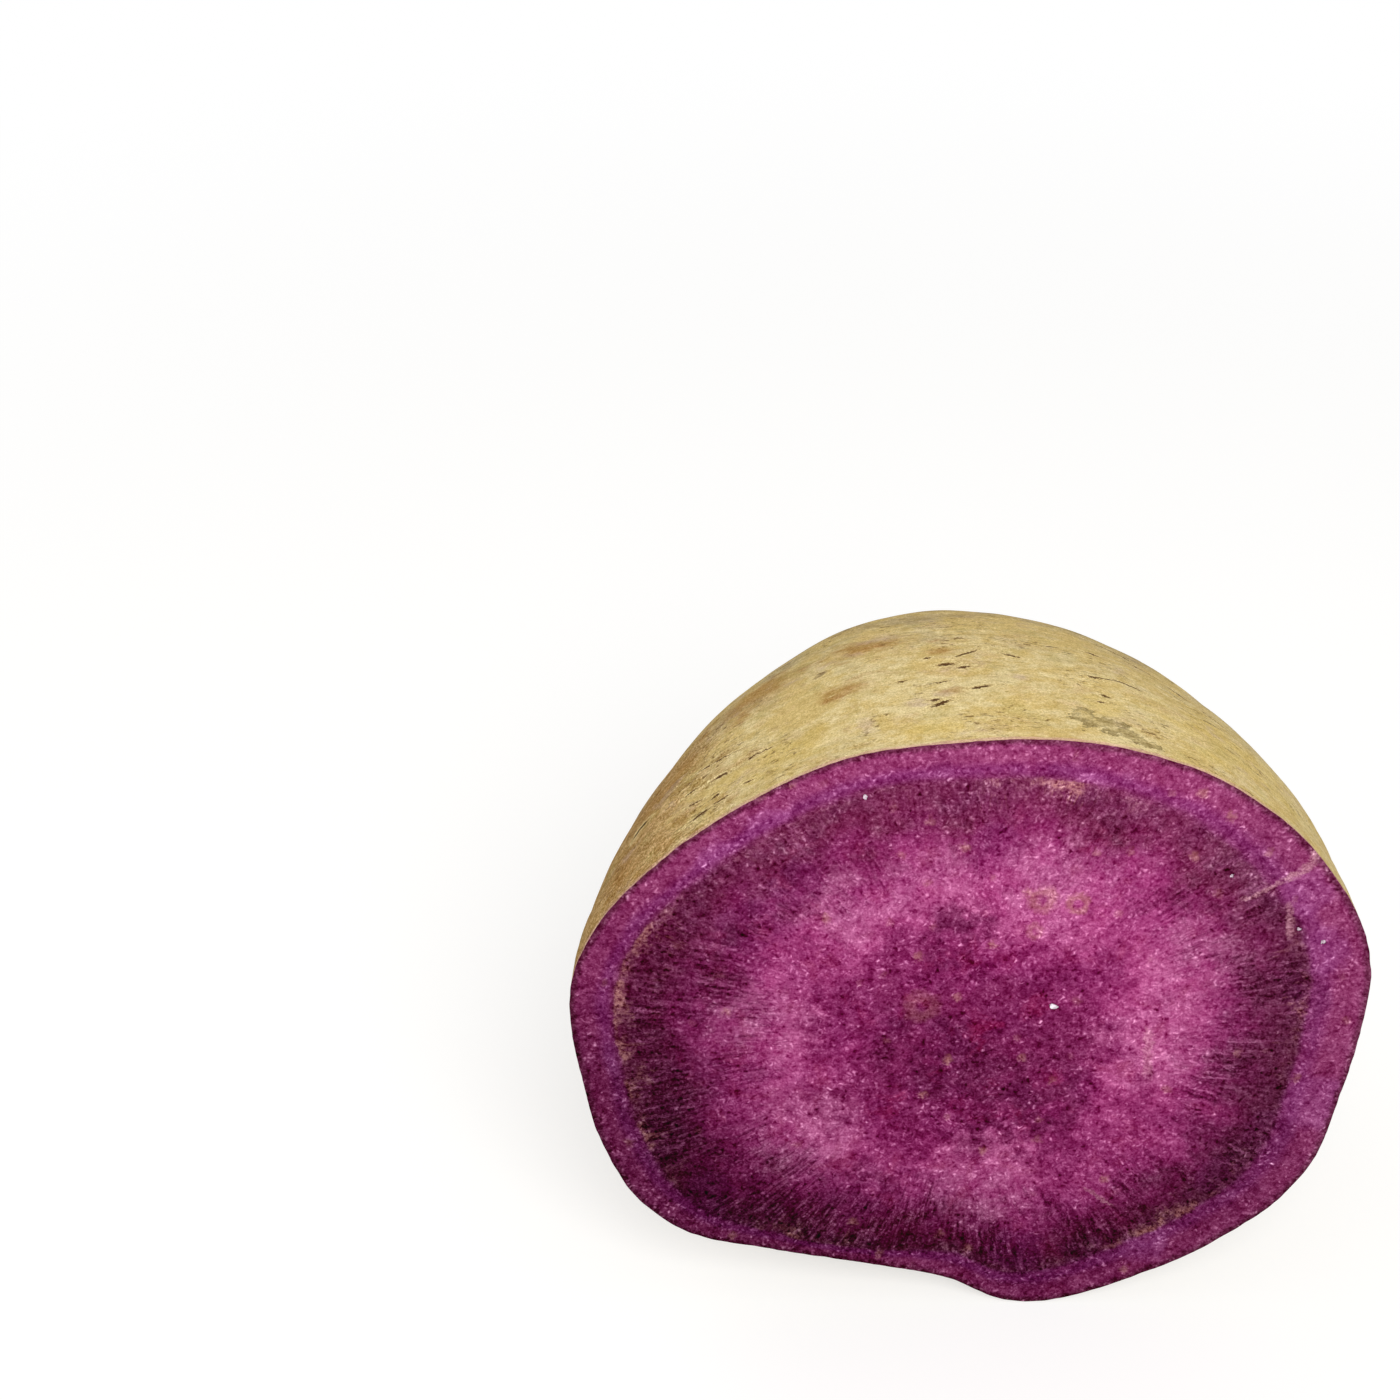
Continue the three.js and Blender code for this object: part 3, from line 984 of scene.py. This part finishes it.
class Skin(Finish):
    """The dry skin. `along` is the distance from the cut down the skin, in millimetres."""

    def __init__(self, body, tints):
        super().__init__("dry_skin", body, tints)
        self.body = body
        self.along = self.value_of("along") * (1 / MM)
        self.solid = self.vector(self.right, self.up, self.back)
        self.broad = self.noise(self.solid, 9, 4, 0.62)
        self.blotch = self.noise(self.girth(1.5), 3.0, 4, 0.65)
        self.dapple = self.noise(self.girth(1.4), 1.4, 4, 0.7)
        self.torn = self.ruffled(self.solid, 1.4, 0.6)
        self.crepe = self.noise(self.girth(2.4), 0.7, 4, 0.75)
        self.grit = self.noise(self.solid, 0.24, 2, 0.85)

    def girth(self, squeeze):
        """Places for noise that streaks round the body."""
        return self.vector(self.right / squeeze, self.along, self.up / squeeze)

    def marks(self, solid, places):
        """How far the nearest mark on the skin is: 0 in its middle, 1 at its edge and at most `reach`."""
        reach = 8
        thickness = 5
        nearness = None
        for degrees, behind, half_length, half_width, tilt in places:
            sockets = {
                "Vector": solid,
                "Location": self.body.skin_point(degrees, behind),
                "Rotation": (0, -math.radians(tilt), math.radians(degrees - 90)),
                "Scale": (half_length * reach, thickness * reach, half_width * reach),
            }
            local = self.node("ShaderNodeMapping", {"vector_type": "TEXTURE"}, sockets)
            ball = {"gradient_type": "SPHERICAL"}
            near = self.node("ShaderNodeTexGradient", ball, {"Vector": local}, out="Fac")
            nearness = near if nearness is None else near.maths("MAXIMUM", nearness, near)
        return (1 - nearness) * reach

    def patch(self, places):
        """A mask over the marks, with an edge as ragged as the blotches."""
        ragged = (self.blotch - 0.5) * 2.4
        return (self.marks(self.solid, places) + ragged).rise(0.25, 0.9, 1, 0)

    def lay_straw(self):
        """Straw, gold, honey and tan in broad patches."""
        tints = self.tints
        pale = (self.broad + (self.dapple - 0.5) * 0.7).rise(0.36, 0.64)
        self.base = self.blend(pale, tints.gold, tints.straw)
        self.lay(self.patch(YELLOW_PATCHES) * 0.6, "honey")
        self.lay((self.blotch + (self.dapple - 0.5) * 0.4).rise(0.5, 0.72) * 0.5, "tan")

    def lay_brown(self):
        """Brown laid over the left side as painted shade, and brown in patches on top. Gives how strong the
        left side's painted shade is.
        """
        # Painted shade: brown laid over the left side, where the skin turns away from the light.
        left_shade = (self.rightward * -1).rise(0.55, 0.95)
        left_shade = (left_shade + (self.blotch - 0.5) * 1.6 + (self.broad - 0.5) * 1.4).rise(0.15, 0.95)
        left_shade = left_shade * (self.along + (self.broad - 0.5) * 50).rise(20, 44, 1, 0.2)
        self.lay(left_shade * 0.75, "brown")
        self.lay(self.patch(TAN_PATCHES) * self.dapple.rise(0.2, 0.7, 0.5, 1) * 0.9, "brown")
        return left_shade

    def lay_age(self):
        """Grey earth towards the root end, and thin veils of mauve and olive."""
        aged = (self.along + (self.broad - 0.5) * 60).rise(18, 52)
        mottle = self.noise(self.solid, 4.5, 5, 0.7).rise(0.36, 0.62)
        self.lay(aged * (mottle * 0.7 + 0.3) * 0.8, "earth")
        veiled = self.noise(self.girth(1.2), 5, 4, 0.65).rise(0.56, 0.72)
        self.lay(veiled * 0.4, "mauve")
        self.lay(self.patch(MAUVE_PATCHES) * 0.5, "mauve")
        stained = self.noise(self.solid, 4, 4, 0.65).rise(0.54, 0.7)
        self.lay(stained * 0.35, "olive")

    def lay_scuff(self):
        """The scuff behind the cut, darker at its border."""
        scuffed = self.marks(self.torn, SCUFF) + (self.dapple - 0.5) * 3.4
        inside = scuffed.rise(0.85, 1.1, 1, 0)
        self.lay(inside * self.dapple.rise(0.43, 0.57, 0.8, 0.2), "scuff")
        self.lay(scuffed.hump(0.88, 0.2) * 0.55, "scuff", 0.55)

    def lay_scars(self):
        """Pits with pale borders away from the cut, and scars, where rootlets grew. Gives the pits."""
        lain = self.ruffled(self.girth(1.9), 1.6, 0.5)
        pitted = self.cells(lain, 7)
        chosen = self.lot(lain, 7).rise(0.45, 0.5) * self.along.rise(14, 22)
        pit = pitted.rise(0.09, 0.03) * chosen
        self.lay(pitted.hump(0.12, 0.07) * chosen * 0.3, "flake")
        self.lay(pit * 0.7, "crack")
        self.lay(self.marks(self.torn, SCARS).rise(0.3, 1.1, 1, 0) * 0.45, "scar")
        return pit

    def lay_cracks(self):
        """Cracks and notches with raised lips painted pale as highlights, and fine creases with painted
        shade in them and painted highlight beside them. Gives the cracks and the notches.
        """
        shaken = self.ruffled(self.solid, 0.5, 0.2)
        crack = self.marks(shaken, CRACKS)
        notch = self.marks(shaken, NOTCHES)
        gathered = self.noise(self.solid, 7, 2).rise(0.48, 0.62)
        slits = self.noise(self.girth(2.4), 0.5, 3, 0.65, 0.6)
        # Painted shade in fine creases, and painted highlight on their lips.
        crease_shade = slits.rise(0.575, 0.63) * gathered
        crease_highlight = slits.rise(0.44, 0.34) * gathered.rise(0, 1, 0.35, 1)
        opened = (crack + (self.grit - 0.5) * 2.4).rise(0.7, 1.6, 1, 0)
        # Painted highlight: pale lips round the cracks, where the raised skin catches the light.
        lips = crack.hump(2.4, 1.4) * self.grit.rise(0.35, 0.6, 0.2, 1)
        beside = crack.rise(1, 4.5, 1, 0)
        gaping = notch.rise(0.6, 1.0, 1, 0)
        # Painted highlight on the raised flakes round the notches and at the listed places.
        flake = notch.hump(1.7, 0.8) + self.marks(shaken, FLAKE_HIGHLIGHTS).rise(0.6, 1.0, 0.9, 0)
        self.lay(beside * 0.4, "brown")
        self.lay(lips * 0.7 + crease_highlight * 0.5 + flake * 0.6, "flake")
        self.lay(crease_shade * 0.75, "brown", 0.4)
        self.lay(opened * 0.92, "crack")
        self.lay(gaping * 0.9, "crack", 0.3)
        return opened, gaping

    def lay_lip(self):
        """The thin pale lip at the cut's edge."""
        edge = self.along + (self.dapple - 0.5) * 0.9
        self.lay(edge.rise(0.25, 0.8, 1, 0) * 0.75, "lip")

    def grained(self, left_shade, openings):
        """Lightens and darkens the colour with flakes that lie round the body, over grit."""
        specks = self.chosen_cells(self.girth(1.5), 0.9, (0.22, 0.1), (0.8, 0.86))
        shift = (self.crepe - 0.5) * 0.25 + (self.grit - 0.5) * 0.5 + (self.dapple - 0.5) * 0.16
        shift = shift - specks * 0.1
        # The grain shows more strongly under the left side's painted shade.
        shift = shift * openings.rise(0, 1, 1, 0.2) * (left_shade * 1.3 + 1)
        self.base = self.shifted(self.base, shift)

    def painted(self):
        """The finished material."""
        self.lay_straw()
        left_shade = self.lay_brown()
        self.lay_age()
        self.lay_scuff()
        pit = self.lay_scars()
        opened, gaping = self.lay_cracks()
        self.lay_lip()
        self.grained(left_shade, opened + gaping)
        height = (self.crepe - 0.5) * 0.5 + (self.grit - 0.5) * 0.3 - opened * 0.3 - pit * 0.4
        roughness = self.crepe.rise(0.3, 0.7, 0.72, 0.9)
        return self.join(roughness, height, bump_depth=0.3, specular=0.08)


# ---- The studio ----


def floor_finish(tint):
    """A pale floor that shows white to the camera and in reflections, and keeps the object's shadow."""
    paint = Paint(bpy.data.materials.new("pale_floor"))
    lit = paint.node("ShaderNodeBsdfDiffuse", None, {"Color": (*tint, 1)})
    glow = paint.node("ShaderNodeEmission", None, {"Color": (1, 1, 1, 1), "Strength": 1.05 - max(tint)})
    both = paint.node("ShaderNodeAddShader", None, {0: lit, 1: glow})
    white = paint.node("ShaderNodeEmission", None, {"Color": (1, 1, 1, 1), "Strength": 1.0})
    place = paint.node("ShaderNodeTexCoord", out="Object")
    away = paint.vectors("LENGTH", place, out="Value")
    both = paint.node("ShaderNodeMixShader", None, {0: away.rise(0.14, 0.4), 1: both, 2: white})
    kinds = ("Camera", "Glossy", "Transmission")
    seen = sum(paint.node("ShaderNodeLightPath", out=f"Is {kind} Ray") for kind in kinds)
    return paint.put_out(paint.node("ShaderNodeMixShader", None, {0: seen, 1: lit, 2: both}))


def lay_floor(settings):
    mesh = bpy.data.meshes.new("floor")
    half = 1.5
    corners = [(x * half, y * half, CAD_BOX[0][2]) for x, y in ((-1, -1), (1, -1), (1, 1), (-1, 1))]
    mesh.from_pydata(corners, [], [(0, 1, 2, 3)])
    mesh.materials.append(floor_finish(settings.floor))
    floor = bpy.data.objects.new("floor", mesh)
    bpy.context.scene.collection.objects.link(floor)


def add_lamp(name, place, target, size, power):
    lamp = bpy.data.lights.new(name, "AREA")
    lamp.shape = "DISK"
    lamp.size = size
    lamp.energy = power
    made = bpy.data.objects.new(name, lamp)
    made.location = place
    made.rotation_euler = (target - place).to_track_quat("-Z", "Y").to_euler()
    bpy.context.scene.collection.objects.link(made)


def set_world(strength):
    """Plain light from all round, and white where the camera sees past the floor."""
    world = bpy.data.worlds.new("studio")
    bpy.context.scene.world = world
    paint = Paint(world)
    light = paint.node("ShaderNodeBackground", None, {"Color": (1, 1, 1, 1), "Strength": strength})
    white = paint.node("ShaderNodeBackground", None, {"Color": (1, 1, 1, 1), "Strength": 1.0})
    seen = paint.node("ShaderNodeLightPath", out="Is Camera Ray")
    shown = paint.node("ShaderNodeMixShader", None, {0: seen, 1: light, 2: white})
    paint.put_out(shown, "ShaderNodeOutputWorld")


def set_camera(settings, middle):
    tilt = settings.elevation
    right = Vector((1, 0, 0))
    above = Vector((0, math.sin(tilt), math.cos(tilt)))
    ahead = Vector((0, math.cos(tilt), -math.sin(tilt)))
    camera = bpy.data.cameras.new("camera")
    camera.lens = settings.lens
    camera.sensor_width = 36
    made = bpy.data.objects.new("camera", camera)
    made.location = middle - settings.left * right + settings.above * above - settings.back * ahead
    made.rotation_euler = (math.pi / 2 - tilt, 0, 0)
    bpy.context.scene.collection.objects.link(made)
    bpy.context.scene.camera = made


# ---- Operators and the panel ----


class SWEETPOTATO_OT_grow_half(bpy.types.Operator):
    """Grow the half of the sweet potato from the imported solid, with its skin and its flesh"""

    bl_idname = "sweetpotato.grow_half"
    bl_label = "Grow the half"

    def execute(self, context):
        scene = context.scene
        piece, body = grow_body(scene.potato_body)
        piece.data.materials.append(Skin(body, scene.potato_skin).painted())
        piece.data.materials.append(Flesh(body, scene.potato_flesh).painted())
        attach(piece, "root")
        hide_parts(NODE)
        return {"FINISHED"}


class SWEETPOTATO_OT_set_stage(bpy.types.Operator):
    """Lay the pale floor, hang the soft lamps and place the camera"""

    bl_idname = "sweetpotato.set_stage"
    bl_label = "Set the stage"

    def execute(self, context):
        settings = context.scene.potato_studio
        middle = Vector(CutBody(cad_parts[NODE]).middle)
        lay_floor(settings)
        set_world(settings.sky)
        inside = Vector((0, 0, 0.035))
        add_lamp("key", Vector((0.1, -0.6, 0.64)), inside, settings.lamp_size, settings.key)
        add_lamp("fill", Vector((-0.5, 0.45, 0.55)), inside, settings.lamp_size, settings.fill)
        set_camera(settings, middle)
        context.scene.view_settings.view_transform = "Standard"
        return {"FINISHED"}


class SWEETPOTATO_PT_panel(bpy.types.Panel):
    """Lists the steps that make the sweet potato and its stage"""

    bl_idname = "SWEETPOTATO_PT_panel"
    bl_label = "Sweet potato"
    bl_space_type = "VIEW_3D"
    bl_region_type = "UI"
    bl_category = "Sweet potato"

    def draw(self, context):
        scene = context.scene
        for operator, groups in (
            (SWEETPOTATO_OT_grow_half, (scene.potato_body, scene.potato_skin, scene.potato_flesh)),
            (SWEETPOTATO_OT_set_stage, (scene.potato_studio,)),
        ):
            box = self.layout.box()
            box.operator(operator.bl_idname)
            for group in groups:
                for name in group.bl_rna.properties.keys():
                    if name not in ("rna_type", "name"):
                        box.prop(group, name)


SETTINGS = {
    "potato_body": BodySettings,
    "potato_skin": SkinSettings,
    "potato_flesh": FleshSettings,
    "potato_studio": StudioSettings,
}
CLASSES = (*SETTINGS.values(), SWEETPOTATO_OT_grow_half, SWEETPOTATO_OT_set_stage, SWEETPOTATO_PT_panel)


def register():
    for cls in CLASSES:
        bpy.utils.register_class(cls)
    for name, group in SETTINGS.items():
        setattr(bpy.types.Scene, name, PointerProperty(type=group))


def unregister():
    for name in SETTINGS:
        delattr(bpy.types.Scene, name)
    for cls in reversed(CLASSES):
        bpy.utils.unregister_class(cls)


def main():
    register()
    bpy.ops.sweetpotato.grow_half()
    bpy.ops.sweetpotato.set_stage()


if __name__ == "__main__":
    main()
